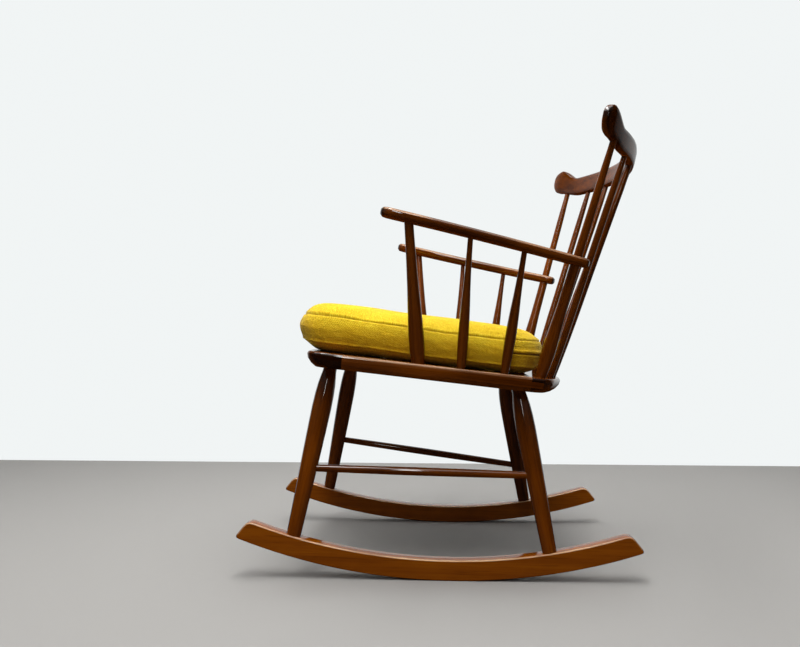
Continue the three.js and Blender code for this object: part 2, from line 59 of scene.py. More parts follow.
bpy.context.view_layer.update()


class Slot(Enum):
    """Material slots of the record for the new pieces; nothing in this script assigns them."""

    WEBBING = "webbing"
    WOOL = "yellow_wool"


class Body(Enum):
    """Rigid bodies of the record."""

    CHAIR = "chair"
    CUSHION = "cushion"


# ---------------------------------------------------------------- shader helpers


class Shader:
    """A material's node tree, with short calls for the nodes that the finishes use."""

    def __init__(self, name: str) -> None:
        """Makes the material with a Principled shader on its output.

        Args:
            name: Name of the material.
        """
        self.material = bpy.data.materials.new(name)
        self.material.use_nodes = True
        self.tree = self.material.node_tree
        self.surface = self.tree.nodes["Principled BSDF"]

    def node(self, kind: str, **settings: object) -> bpy.types.Node:
        """Adds a node.

        Args:
            kind: Type of the node, without the ShaderNode prefix.
            **settings: Properties to set on it.

        Returns:
            The new node.
        """
        made = self.tree.nodes.new("ShaderNode" + kind)
        for key, value in settings.items():
            setattr(made, key, value)
        return made

    def link(self, out: Socket, into: Socket) -> None:
        """Links an output to an input."""
        self.tree.links.new(out, into)

    def grain_coordinates(self, stretch: Triple) -> Socket:
        """Coordinates along and across a piece's own grain.

        Args:
            stretch: Scale across, through and along the grain.

        Returns:
            Output socket with the scaled vector.
        """
        return self.scaled(self.node("Attribute", attribute_name="grain").outputs["Vector"], stretch)

    def scaled(self, vector: Socket, scale: Triple) -> Socket:
        """Scales coordinates.

        Args:
            vector: Coordinates.
            scale: Scale along each axis.

        Returns:
            Output socket with the scaled vector.
        """
        mapping = self.node("Mapping")
        mapping.inputs["Scale"].default_value = scale
        self.link(vector, mapping.inputs["Vector"])
        return mapping.outputs["Vector"]

    def noise(self, vector: Socket, scale: float, detail: float = 3.0,
              rough: float = 0.5, distort: float = 0.0) -> Socket:
        """Noise texture read at a vector.

        Args:
            vector: Coordinates.
            scale: Cells per unit.
            detail: Octaves.
            rough: Weight of the finer octaves.
            distort: How far the pattern is warped.

        Returns:
            Its factor output.
        """
        made = self.node("TexNoise")
        made.inputs["Scale"].default_value = scale
        made.inputs["Detail"].default_value = detail
        made.inputs["Roughness"].default_value = rough
        made.inputs["Distortion"].default_value = distort
        self.link(vector, made.inputs["Vector"])
        return made.outputs["Fac"]

    def ramp(self, factor: Socket, stops: list[tuple[float, Colour]]) -> Socket:
        """Colour ramp over a factor.

        Args:
            factor: Value from 0 to 1.
            stops: Position and colour of each stop, in order.

        Returns:
            Its colour output.
        """
        made = self.node("ValToRGB")
        band = made.color_ramp
        while len(band.elements) < len(stops):
            band.elements.new(1.0)
        for element, (place, colour) in zip(band.elements, stops):
            element.position = place
            element.color = colour
        self.link(factor, made.inputs["Fac"])
        return made.outputs["Color"]

    def mix(self, factor: Socket | float, low: Socket | Colour,
            high: Socket | Colour, blend: str = "MIX") -> Socket:
        """Mixes two colours.

        Args:
            factor: Share of the second, a socket or a number.
            low: First colour, a socket or a value.
            high: Second colour, a socket or a value.
            blend: Blend mode.

        Returns:
            Colour output.
        """
        made = self.node("Mix", data_type="RGBA", blend_type=blend)
        for socket, value in ((made.inputs[0], factor), (made.inputs[6], low), (made.inputs[7], high)):
            if isinstance(value, Socket):
                self.link(value, socket)
            else:
                socket.default_value = value
        return made.outputs[2]

    def math(self, operation: str, a: Socket | float,
             b: Socket | float = 0.0, clamp: bool = False) -> Socket:
        """One arithmetic step.

        Args:
            operation: Name of the operation.
            a: First operand.
            b: Second operand.
            clamp: Whether the result is kept from 0 to 1.

        Returns:
            The value output.
        """
        made = self.node("Math", operation=operation, use_clamp=clamp)
        for socket, value in zip(made.inputs, (a, b)):
            if isinstance(value, Socket):
                self.link(value, socket)
            else:
                socket.default_value = value
        return made.outputs[0]

    def bump(self, height: Socket, distance: float, strength: float = 1.0,
             below: Socket | None = None) -> Socket:
        """Bump from a height.

        Args:
            height: Height from 0 to 1.
            distance: Height in metres of a step from 0 to 1.
            strength: Share that is used.
            below: Normal that this one is laid on.

        Returns:
            The normal output.
        """
        made = self.node("Bump")
        made.inputs["Distance"].default_value = distance
        made.inputs["Strength"].default_value = strength
        self.link(height, made.inputs["Height"])
        if below is not None:
            self.link(below, made.inputs["Normal"])
        return made.outputs["Normal"]


# ---------------------------------------------------------------- finishes


@dataclass(frozen=True)
class StainedWood:
    """Beech under a brown stain and a satin lacquer, with streaks along the grain."""

    name: str
    dark: Colour
    light: Colour
    # colour of the painted highlight on arrises that face up and out
    arris_highlight: Colour = (0.78, 0.47, 0.26, 1)
    pore: Colour = (0.45, 0.4, 0.38, 1)
    pore_share: float = 0.55
    streak_cells: Triple = (70, 70, 2.2)
    pore_cells: Triple = (420, 420, 14)
    cloud_cells: Triple = (9, 9, 5)
    pore_depth: float = 0.00012
    streak_depth: float = 0.0004
    end_grain: float = 0.11
    roughness: float = 0.5
    cloudiness: float = 0.16
    specular: float = 0.0
    coat: float = 1.0
    coat_ior: float = 1.42
    coat_roughness: float = 0.07
    # how fast the coat fades on faces that point down: painted shade on undersides
    underside_dimming: float = 1.4

    def material(self) -> bpy.types.Material:
        """Builds the finish. It reads the piece's grain and along attributes, and its highlight
        attribute, which marks the arrises that get a painted highlight.

        Returns:
            The material.
        """
        sh = Shader(self.name)
        streaks = sh.noise(sh.grain_coordinates(self.streak_cells), 1.0, 5.0, 0.6, 0.25)
        fine = sh.noise(sh.grain_coordinates(self.pore_cells), 1.0, 3.0, 0.6)
        clouds = sh.noise(sh.grain_coordinates(self.cloud_cells), 1.0, 3.0, 0.55)
        tone = sh.math("ADD", sh.math("MULTIPLY", streaks, 0.55), sh.math("MULTIPLY", clouds, 0.45))
        colour = sh.ramp(tone, [(0.34, self.dark), (0.66, self.light)])
        pores = sh.ramp(fine, [(0.30, self.pore), (0.46, (1, 1, 1, 1))])
        colour = sh.mix(self.pore_share, colour, pores, "MULTIPLY")
        outward = sh.node("NewGeometry").outputs["Normal"]
        facing = sh.node("VectorMath", operation="DOT_PRODUCT")
        sh.link(outward, facing.inputs[0])
        sh.link(sh.node("Attribute", attribute_name="along").outputs["Vector"], facing.inputs[1])
        ends = sh.math("ABSOLUTE", facing.outputs["Value"], 0.0)
        soaked = sh.ramp(ends, [(0.35, (1, 1, 1, 1)), (0.85, (self.end_grain,) * 3 + (1,))])
        colour = sh.mix(1.0, colour, soaked, "MULTIPLY")
        # painted highlight: arrises that face up and out take a pale colour where light from above would
        # shine on them, broken up by cloud noise
        highlight_breakup = sh.ramp(clouds, [(0.32, (0, 0, 0, 1)), (0.52, (1, 1, 1, 1))])
        painted_highlight = sh.node("Attribute", attribute_name="painted_highlight").outputs["Fac"]
        colour = sh.mix(sh.math("MULTIPLY", painted_highlight, highlight_breakup, clamp=True), colour, self.arris_highlight)
        sh.link(colour, sh.surface.inputs["Base Color"])
        rough = sh.math("ADD", sh.math("MULTIPLY", clouds, self.cloudiness),
                        self.roughness - self.cloudiness / 2)
        sh.link(rough, sh.surface.inputs["Roughness"])
        normal = sh.bump(fine, self.pore_depth, 0.5)
        normal = sh.bump(streaks, self.streak_depth, 0.35, normal)
        sh.link(normal, sh.surface.inputs["Normal"])
        sh.surface.inputs["Specular IOR Level"].default_value = self.specular
        # painted shade: the lacquer coat fades out on faces that point down, so undersides lose their
        # reflection and read darker
        split = sh.node("SeparateXYZ")
        sh.link(outward, split.inputs[0])
        below = sh.math("MULTIPLY", split.outputs["Z"], -self.underside_dimming, clamp=True)
        left = sh.math("SUBTRACT", 1.0, below, clamp=True)
        sh.link(sh.math("MULTIPLY", left, self.coat), sh.surface.inputs["Coat Weight"])
        sh.surface.inputs["Coat IOR"].default_value = self.coat_ior
        sh.surface.inputs["Coat Roughness"].default_value = self.coat_roughness
        return sh.material


@dataclass(frozen=True)
class Wool:
    """Coarse upholstery wool: a plain weave with slubs, a soft nap and a dark line of painted shade in
    each seam.
    """

    name: str
    base: Colour
    light: Colour
    dark: Colour
    # painted shade: the side strip is multiplied darker and more orange
    boxing: Colour = (1.0, 0.86, 0.7, 1)
    thread: float = 0.0017
    slub_cells: Triple = (260, 420, 1)
    crease_cells: Triple = (55, 120, 1)
    roughness: float = 0.92
    specular: float = 0.1
    nap: float = 0.15
    nap_roughness: float = 0.55
    nap_tint: Colour = (1.0, 0.93, 0.6, 1)

    def material(self) -> bpy.types.Material:
        """Builds the finish. It reads the piece's weave map, its seam attribute for the painted shade in
        the seams, and its boxing attribute for the painted shade on the side strip.

        Returns:
            The material.
        """
        sh = Shader(self.name)
        weave = sh.node("UVMap", uv_map="weave").outputs["UV"]
        split = sh.node("SeparateXYZ")
        sh.link(weave, split.inputs[0])
        turn = 2 * math.pi / (2 * self.thread)
        across = sh.math("SINE", sh.math("MULTIPLY", split.outputs[0], turn))
        along = sh.math("SINE", sh.math("MULTIPLY", split.outputs[1], turn))
        threads = sh.math("ADD", sh.math("MULTIPLY", sh.math("MULTIPLY", across, along), 0.5), 0.5)
        slubs = sh.noise(sh.scaled(weave, self.slub_cells), 1.0, 3.0, 0.6, 0.3)
        creases = sh.noise(sh.scaled(weave, self.crease_cells), 1.0, 3.0, 0.6, 0.8)
        place = sh.node("TexCoord").outputs["Object"]
        clouds = sh.noise(place, 16.0, 3.0, 0.6)
        fuzz = sh.noise(place, 900.0, 2.0, 0.6)
        tone = sh.math("ADD", sh.math("MULTIPLY", slubs, 0.55), sh.math("MULTIPLY", clouds, 0.15))
        tone = sh.math("ADD", tone, sh.math("MULTIPLY", threads, 0.2))
        # painted shade and highlight: the tone follows the creases' relief, darker in their hollows,
        # lighter on their ridges
        tone = sh.math("ADD", tone, sh.math("MULTIPLY", creases, 0.1))
        colour = sh.ramp(tone, [(0.32, self.dark), (0.5, self.base), (0.68, self.light)])
        # painted shade: the boxing attribute darkens the side strip toward orange
        strip = sh.node("Attribute", attribute_name="boxing").outputs["Fac"]
        colour = sh.mix(strip, colour, self.boxing, "MULTIPLY")
        # painted shade: the seam attribute darkens the sunk seams and the zip gap
        seam = sh.node("Attribute", attribute_name="seam").outputs["Fac"]
        shaded = (self.dark[0] * 0.35, self.dark[1] * 0.3, self.dark[2] * 0.3, 1)
        colour = sh.mix(seam, colour, shaded)
        sh.link(colour, sh.surface.inputs["Base Color"])
        for name, value in (("Roughness", self.roughness), ("Specular IOR Level", self.specular),
                            ("Sheen Weight", self.nap), ("Sheen Roughness", self.nap_roughness),
                            ("Sheen Tint", self.nap_tint)):
            sh.surface.inputs[name].default_value = value
        normal = sh.bump(creases, 0.0011, 0.5)
        normal = sh.bump(slubs, 0.0009, 1.0, normal)
        normal = sh.bump(threads, 0.0004, 0.8, normal)
        normal = sh.bump(fuzz, 0.0003, 0.5, normal)
        sh.link(normal, sh.surface.inputs["Normal"])
        return sh.material


@dataclass(frozen=True)
class Jute:
    """Natural jute webbing with ribs along its length."""

    name: str
    base: Colour
    dark: Colour
    rib: float = 0.0042

    def material(self) -> bpy.types.Material:
        """Builds the finish.

        Returns:
            The material.
        """
        sh = Shader(self.name)
        weave = sh.node("UVMap", uv_map="weave").outputs["UV"]
        split = sh.node("SeparateXYZ")
        sh.link(weave, split.inputs[0])
        ribs = sh.math("SINE", sh.math("MULTIPLY", split.outputs[1], 2 * math.pi / self.rib))
        picks = sh.math("SINE", sh.math("MULTIPLY", split.outputs[0], 2 * math.pi / (0.5 * self.rib)))
        height = sh.math("ADD", sh.math("MULTIPLY", sh.math("MULTIPLY", ribs, picks), 0.5), 0.5)
        fibres = sh.noise(sh.scaled(weave, (60, 500, 1)), 1.0, 3.0, 0.6)
        tone = sh.math("ADD", sh.math("MULTIPLY", height, 0.4), sh.math("MULTIPLY", fibres, 0.6))
        sh.link(sh.ramp(tone, [(0.3, self.dark), (0.65, self.base)]), sh.surface.inputs["Base Color"])
        sh.surface.inputs["Roughness"].default_value = 0.95
        sh.surface.inputs["Specular IOR Level"].default_value = 0.2
        normal = sh.bump(height, 0.0007, 0.9)
        normal = sh.bump(fibres, 0.0003, 0.6, normal)
        sh.link(normal, sh.surface.inputs["Normal"])
        return sh.material


# ---------------------------------------------------------------- wood


@dataclass
class Joinery:
    """All the wooden pieces, as the frame has them: smoothed, grained and lacquered."""

    beech: StainedWood
    rocker: StainedWood
    crease: float = math.radians(50)
    weld: float = 0.00002
    flat: float = math.radians(0.1)
    flat_weight: int = 80
    # strength of the painted highlight on each kind of piece
    painted_highlight: dict[str, float] = field(default_factory=lambda: {
        "rocker": 1.0, "seat_side": 0.5, "arm_left": 0.4, "arm_right": 0.4})
    group: bpy.types.NodeTree = field(init=False)

    def __post_init__(self) -> None:
        """Builds the node group that smooths a piece and stores its grain, its direction and the arrises
        that get a painted highlight.
        """
        tree = bpy.data.node_groups.new("smooth_with_grain", "GeometryNodeTree")
        face = tree.interface
        face.new_socket("Geometry", in_out="INPUT", socket_type="NodeSocketGeometry")
        for name in ("Across", "Through", "Along"):
            face.new_socket(name, in_out="INPUT", socket_type="NodeSocketVector")
        face.new_socket("Wear", in_out="INPUT", socket_type="NodeSocketFloat")
        face.new_socket("Geometry", in_out="OUTPUT", socket_type="NodeSocketGeometry")
        add, link = tree.nodes.new, tree.links.new
        start, end = add("NodeGroupInput"), add("NodeGroupOutput")
        faces = add("GeometryNodeSetShadeSmooth")
        faces.domain = "FACE"
        link(start.outputs["Geometry"], faces.inputs["Geometry"])
        angle = add("GeometryNodeInputMeshEdgeAngle")
        sharp = add("FunctionNodeCompare")
        sharp.data_type, sharp.operation = "FLOAT", "GREATER_THAN"
        sharp.inputs[1].default_value = self.crease
        link(angle.outputs["Unsigned Angle"], sharp.inputs[0])
        edges = add("GeometryNodeSetShadeSmooth")
        edges.domain = "EDGE"
        edges.inputs["Shade Smooth"].default_value = False
        link(faces.outputs[0], edges.inputs["Geometry"])
        link(sharp.outputs[0], edges.inputs["Selection"])
        place = add("GeometryNodeInputPosition")
        combine = add("ShaderNodeCombineXYZ")
        for i, name in enumerate(("Across", "Through", "Along")):
            dot = add("ShaderNodeVectorMath")
            dot.operation = "DOT_PRODUCT"
            link(place.outputs[0], dot.inputs[0])
            link(start.outputs[name], dot.inputs[1])
            link(dot.outputs["Value"], combine.inputs[i])
        store = add("GeometryNodeStoreNamedAttribute")
        store.data_type, store.domain = "FLOAT_VECTOR", "POINT"
        store.inputs["Name"].default_value = "grain"
        link(edges.outputs[0], store.inputs["Geometry"])
        link(combine.outputs[0], store.inputs["Value"])
        along = add("GeometryNodeStoreNamedAttribute")
        along.data_type, along.domain = "FLOAT_VECTOR", "POINT"
        along.inputs["Name"].default_value = "along"
        link(store.outputs[0], along.inputs["Geometry"])
        link(start.outputs["Along"], along.inputs["Value"])
        split = add("ShaderNodeSeparateXYZ")
        link(add("GeometryNodeInputNormal").outputs[0], split.inputs[0])
        value = split.outputs["X"]  # the painted highlight is 1 on an arris that faces up and out, 0 on flat sides
        for operation, other in (("ABSOLUTE", None), ("MULTIPLY", split.outputs["Z"]), ("MAXIMUM", 0.0),
                                 ("MULTIPLY", 2.0), ("POWER", 2.0), ("MULTIPLY", start.outputs["Wear"])):
            step = add("ShaderNodeMath")
            step.operation = operation
            link(value, step.inputs[0])
            if isinstance(other, float):
                step.inputs[1].default_value = other
            elif other is not None:
                link(other, step.inputs[1])
            value = step.outputs[0]
        highlighted = add("GeometryNodeStoreNamedAttribute")
        highlighted.data_type, highlighted.domain = "FLOAT", "FACE"
        highlighted.inputs["Name"].default_value = "painted_highlight"
        link(along.outputs[0], highlighted.inputs["Geometry"])
        link(value, highlighted.inputs["Value"])
        link(highlighted.outputs[0], end.inputs["Geometry"])
        self.group = tree

    @staticmethod
    def grain_axes(piece: Piece) -> tuple[Vector, Vector, Vector]:
        """Directions across, through and along a piece, found from the middles of its two ends.

        Args:
            piece: A node of the frame.

        Returns:
            Three unit vectors, the last along the grain.
        """
        low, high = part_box(piece.name)
        size = high - low
        k = max(range(3), key=lambda i: size[i])
        ends = []
        for edge, sign in ((low[k], 1), (high[k], -1)):
            near = [v.co for v in piece.data.vertices if (v.co[k] - edge) * sign < 0.08 * size[k]]
            ends.append(sum(near, Vector()) / len(near))
        along = (ends[1] - ends[0]).normalized()
        across = along.orthogonal().normalized()
        return across, along.cross(across), along

    def dress(self, piece: Piece, material: bpy.types.Material) -> None:
        """Joins a piece's flat sides, smooths it, stores its grain and its painted highlight, and
        finishes it.

        Args:
            piece: A node of the frame.
            material: Its finish.
        """
        axes = self.grain_axes(piece)
        piece.modifiers.new("weld", "WELD").merge_threshold = self.weld
        flats = piece.modifiers.new("flats", "DECIMATE")
        flats.decimate_type = "DISSOLVE"
        flats.angle_limit = self.flat
        smooth = piece.modifiers.new("smooth", "NODES")
        smooth.node_group = self.group
        for name, axis in zip(("Across", "Through", "Along"), axes):
            key = next(i.identifier for i in self.group.interface.items_tree if i.name == name)
            smooth[key] = axis
        key = next(i.identifier for i in self.group.interface.items_tree if i.name == "Wear")
        smooth[key] = next((w for start, w in self.painted_highlight.items() if piece.name.startswith(start)), 0.0)
        weight = piece.modifiers.new("weights", "WEIGHTED_NORMAL")
        weight.keep_sharp = True
        weight.weight = self.flat_weight
        piece.data.materials.clear()
        piece.data.materials.append(material)

    def build(self) -> None:
        """Dresses every wooden node."""
        beech, rocker = self.beech.material(), self.rocker.material()
        names = sorted(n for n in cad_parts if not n.startswith(("seat_strap", "seat_cushion")))
        for name in names:
            self.dress(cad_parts[name], rocker if name.startswith("rocker") else beech)
        log.info("wood: %d pieces", len(names))


# ---------------------------------------------------------------- the seat's own frame


@dataclass(frozen=True)
class SeatPlane:
    """Frame of the seat: its origin is on the seat's top, and its Y falls backwards with the seat."""

    origin: Vector
    pitch: float

    @property
    def matrix(self) -> Matrix:
        """Seat frame to row frame."""
        return Matrix.Translation(self.origin) @ Matrix.Rotation(-self.pitch, 4, "X")

    def box_of(self, node: str) -> tuple[Vector, Vector]:
        """Lowest and highest corner of a node of the frame, in the seat frame.

        Args:
            node: Name of the node.

        Returns:
            Two corners.
        """
        back = self.matrix.inverted()
        points = [back @ v.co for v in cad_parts[node].data.vertices]
        return (Vector([min(p[i] for p in points) for i in range(3)]),
                Vector([max(p[i] for p in points) for i in range(3)]))


SEAT = SeatPlane(Vector((0.0, -0.0079, 0.376935)), math.radians(6.7))


# ---------------------------------------------------------------- modelling helpers


def clear_selection() -> None:
    """Leaves edit mode and deselects everything."""
    if bpy.context.object and bpy.context.object.mode != "OBJECT":
        bpy.ops.object.mode_set(mode="OBJECT")
    bpy.ops.object.select_all(action="DESELECT")


def select_only(piece: Piece) -> None:
    """Makes one piece the only one selected, and active."""
    clear_selection()
    piece.select_set(True)
    bpy.context.view_layer.objects.active = piece


def apply_modifier(piece: Piece, kind: str, **settings: object) -> None:
    """Adds a modifier and applies it.

    Args:
        piece: The piece.
        kind: Type of the modifier.
        **settings: Properties to set on it.
    """
    select_only(piece)
    made = piece.modifiers.new(kind.lower(), kind)
    for key, value in settings.items():
        setattr(made, key, value)
    bpy.ops.object.modifier_apply(modifier=made.name)


def smoothstep(edge: float, full: float, value: float) -> float:
    """Smooth rise from 0 at edge to 1 at full."""
    t = min(1.0, max(0.0, (value - edge) / (full - edge)))
    return t * t * (3 - 2 * t)


def bell(centre: float, width: float, value: float) -> float:
    """Smooth bump of height 1 round a centre, with that half width at a third of its height."""
    return math.exp(-((value - centre) / width) ** 2)


def rounded_outline(corners: list[Triple], bows: list[float],
                    step: float = 0.004) -> list[Vector]:
    """Closed outline with rounded corners and bowed sides.

    Args:
        corners: X, Y and radius of each corner, in order.
        bows: How far each side stands out at its middle, the first from the first corner.
        step: Length between points.

    Returns:
        Points in order, without the first one again.
    """
    sides = []
    for i, bow in enumerate(bows):
        a, b = Vector(corners[i][:2]), Vector(corners[(i + 1) % len(corners)][:2])
        out = Vector(((b - a).y, -(b - a).x)).normalized()
        count = 160
        sides.append([a.lerp(b, k / count) + out * bow * 4 * (k / count) * (1 - k / count)
                      for k in range(count + 1)])
    points: list[Vector] = []
    for i, side in enumerate(sides):
        start, end = corners[i][2], corners[(i + 1) % len(corners)][2]
        first, last = side[0], side[-1]
        points += [p for p in side if (p - first).length >= start and (p - last).length >= end]
        after = sides[(i + 1) % len(sides)]
        a, b = points[-1], next(p for p in after if (p - after[0]).length >= end)
        middle = last
        points += [a * (1 - t) ** 2 + middle * 2 * t * (1 - t) + b * t * t
                   for t in [k / 24 for k in range(1, 24)]]
    total = sum((points[k] - points[k - 1]).length for k in range(len(points)))
    count = int(total / step)
    even, along, k = [], 0.0, 0
    for n in range(count):
        want = total * n / count
        while along + (points[(k + 1) % len(points)] - points[k % len(points)]).length < want:
            along += (points[(k + 1) % len(points)] - points[k % len(points)]).length
            k += 1
        a, b = points[k % len(points)], points[(k + 1) % len(points)]
        even.append(a.lerp(b, (want - along) / max((b - a).length, 1e-9)))
    return even


# ---------------------------------------------------------------- webbing


@dataclass
class Webbing:
    """Five flat straps side by side, each let into the two side rails."""

    finish: Jute
    columns: int = 72
    rows: int = 10
    thickness: float = 0.0022
    sag: float = 0.0006
    edge_wave: float = 0.00035
    edge_pitch: float = 0.0105
    gap: float = 0.0003

    def strap(self, node: str, material: bpy.types.Material) -> None:
        """Makes one strap in the place of its node.

        Args:
            node: Name of the frame's strap.
            material: Its finish.
        """
        low, high = SEAT.box_of(node)
        clear_selection()
        bpy.ops.mesh.primitive_grid_add(x_subdivisions=self.columns, y_subdivisions=self.rows, size=1)
        piece = bpy.context.object
        piece.name = "webbing_" + node.rsplit("_", 1)[1]
        length, width = high.x - low.x, high.y - low.y
        middle = (low + high) / 2
        for v in piece.data.vertices:
            x, y = v.co.x * length, v.co.y * width
            edge = abs(v.co.y) * 2
            turn = v.co.x * length * 2 * math.pi / self.edge_pitch
            wave = self.edge_wave * math.sin(turn) * smoothstep(0.8, 1, edge)
            hang = self.sag * (1 - (2 * v.co.x) ** 2)
            v.co = Vector((middle.x + x, middle.y + y * (1 - 0.004 * math.cos(v.co.x * 9)) + wave,
                           high.z - self.gap - hang))
        layer = piece.data.uv_layers.get("UVMap") or piece.data.uv_layers.new(name="weave")
        layer.name = "weave"
        for corner in piece.data.loops:
            at = piece.data.vertices[corner.vertex_index].co
            layer.data[corner.index].uv = (at.x, at.y)
        apply_modifier(piece, "SOLIDIFY", thickness=self.thickness, offset=-1)
        apply_modifier(piece, "BEVEL", width=0.0004, segments=2, limit_method="ANGLE")
        piece.data.transform(SEAT.matrix)
        select_only(piece)
        bpy.ops.object.shade_smooth_by_angle(angle=math.radians(60))
        piece.data.materials.append(material)
        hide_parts(node)
        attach(piece, Body.CHAIR.value)

    def build(self) -> None:
        """Makes every strap."""
        material = self.finish.material()
        names = sorted(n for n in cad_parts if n.startswith("seat_strap"))
        for name in names:
            self.strap(name, material)
        log.info("webbing: %d straps", len(names))


# ---------------------------------------------------------------- cushion


@dataclass
class BoxedCushion:
    """Loose foam cushion: two crowned panels and a boxing strip between, with a zip at the back."""

    finish: Wool
    front_half: float = 0.214
    back_half: float = 0.196
    front: float = -0.264
    back: float = 0.170
    front_bow: float = 0.030
    back_bow: float = 0.024
    corner: float = 0.058
    lower_seam: float = 0.017
    upper_seam: float = 0.066
    zip_height: float = 0.0415
    zip_start: float = 0.105
    swell: float = 0.006
    crown_edge: float = 0.015
    crown_middle: float = 0.009
    bulge: float = 0.0055
    curl: float = 0.020
    curl_length: float = 0.047
    nose_rise: float = 0.004
    tail_rise: float = 0.005
    nose_tuck: float = 0.003
    half_width: float = 0.21
    half_depth: float = 0.23
    edge_radius: float = 0.021
    crown_reach: float = 0.013
    seam_width: float = 0.0011
    seam_depth: float = 0.0013
    lower_seam_depth: float = 0.0004
    pucker: float = 0.0014
    crease: float = 0.0006
    ripple: float = 0.0012
    zip_depth: float = 0.0030
    zip_flap: float = 0.0026
    zip_lip: float = 0.0014
    seam_rise: float = 0.004
    seam_drop: float = 0.0015
    seam_sink: float = 0.0025
    upper_sink: float = 0.0052
    nose_fullness: float = 0.45
    voxel: float = 0.0055
    cap: float = 0.007
    pressure: float = 4.0
    stiffness: float = 18
    shear: float = 8
    bending: float = 0.6
    frames: int = 20
    outline: list[Vector] = field(init=False)

    def start_shape(self) -> Piece:
        """Closed form a little smaller than the finished cushion, in the seat frame.

        Returns:
            The piece, evenly meshed.
        """
        self.outline = rounded_outline(
            [(-self.front_half, self.front, self.corner), (self.front_half, self.front, self.corner),
             (self.back_half, self.back, self.corner), (-self.back_half, self.back, self.corner)],
            [self.front_bow, 0.0, self.back_bow, 0.0])
        clear_selection()
        bpy.ops.mesh.primitive_circle_add(vertices=len(self.outline), fill_type="NGON", radius=1)
        piece = bpy.context.object
        piece.name = "cushion"
        for v, at in zip(piece.data.vertices, self.outline):
            v.co = (at.x, at.y, 0.0)
        bpy.ops.object.mode_set(mode="EDIT")
        bpy.ops.mesh.select_all(action="SELECT")
        centre = (0, (self.front + self.back) / 2, 0)
        half = self.front_half
        profile = [(self.lower_seam * (1 - math.cos(t)), self.edge_radius * (1 - math.sin(t)))
                   for t in [k * math.pi / 16 for k in range(9)]]
        span = self.upper_seam - self.lower_seam
        profile += [(self.lower_seam + span * t, self.bulge * ((2 * t - 1) ** 2 - 1))
                    for t in (0.2, 0.4, 0.6, 0.8, 1.0)]
        profile += [(self.upper_seam + self.crown_edge * (1 - math.exp(-d / self.crown_reach)) +
                     self.crown_middle * (1 - (1 - d / half) ** 2), d)
                    for d in (0.002, 0.005, 0.009, 0.014, 0.02, 0.028, 0.038, 0.055, 0.08, 0.11, 0.15)]
        height, widen = profile[0][0], 1 - profile[0][1] / half
        bpy.ops.transform.resize(value=(widen, widen, 1), center_override=centre)
        for h, inset in profile[1:]:
            bpy.ops.mesh.extrude_region_move(TRANSFORM_OT_translate={"value": (0, 0, h - height)})
            step = (1 - inset / half) / widen
            bpy.ops.transform.resize(value=(step, step, 1), center_override=centre)
            height, widen = h, 1 - inset / half
        bpy.ops.object.mode_set(mode="OBJECT")
        for v in piece.data.vertices:
            v.co.x *= 1 - self.swell / self.half_width
            v.co.y = centre[1] + (v.co.y - centre[1]) * (1 - self.swell / self.half_depth)
        apply_modifier(piece, "REMESH", mode="VOXEL", voxel_size=self.voxel)
        return piece

    def inflate(self, piece: Piece) -> None:
        """Fills the form: cloth under pressure, with a cap on how far a point may go.

        Args:
            piece: The start shape.
        """
        start = [v.co.copy() for v in piece.data.vertices]
        select_only(piece)
        cloth = piece.modifiers.new("fill", "CLOTH")
        for name, value in (("quality", 6), ("mass", 0.3), ("tension_stiffness", self.stiffness),
                            ("compression_stiffness", self.stiffness),
                            ("shear_stiffness", self.shear), ("bending_stiffness", self.bending),
                            ("use_pressure", True), ("uniform_pressure_force", self.pressure)):
            setattr(cloth.settings, name, value)
        cloth.settings.effector_weights.gravity = 0
        cloth.collision_settings.use_collision = False
        cloth.point_cache.frame_start, cloth.point_cache.frame_end = 1, self.frames
        for number in range(1, self.frames + 1):
            bpy.context.scene.frame_set(number)
        bpy.ops.object.modifier_apply(modifier=cloth.name)
        bpy.context.scene.frame_set(1)
        for v, was in zip(piece.data.vertices, start):
            move = v.co - was
            v.co = was + move * min(1.0, self.cap / max(move.length, 1e-6))
        apply_modifier(piece, "SMOOTH", factor=0.5, iterations=12)
        apply_modifier(piece, "SUBSURF", levels=1, render_levels=1)

    def settle(self, piece: Piece) -> None:
        """Fits the filled form to the room that the cushion has, flat below and crowned above.

        Args:
            piece: The filled form, in the seat frame.
        """
        low, high = SEAT.box_of("seat_cushion")
        points = [v.co for v in piece.data.vertices]
        have_low = Vector([min(p[i] for p in points) for i in range(3)])
        have_high = Vector([max(p[i] for p in points) for i in range(3)])
        for v in piece.data.vertices:
            share = [(v.co[i] - have_low[i]) / (have_high[i] - have_low[i]) for i in range(3)]
            v.co = Vector([low[i] + share[i] * (high[i] - low[i]) for i in range(3)])

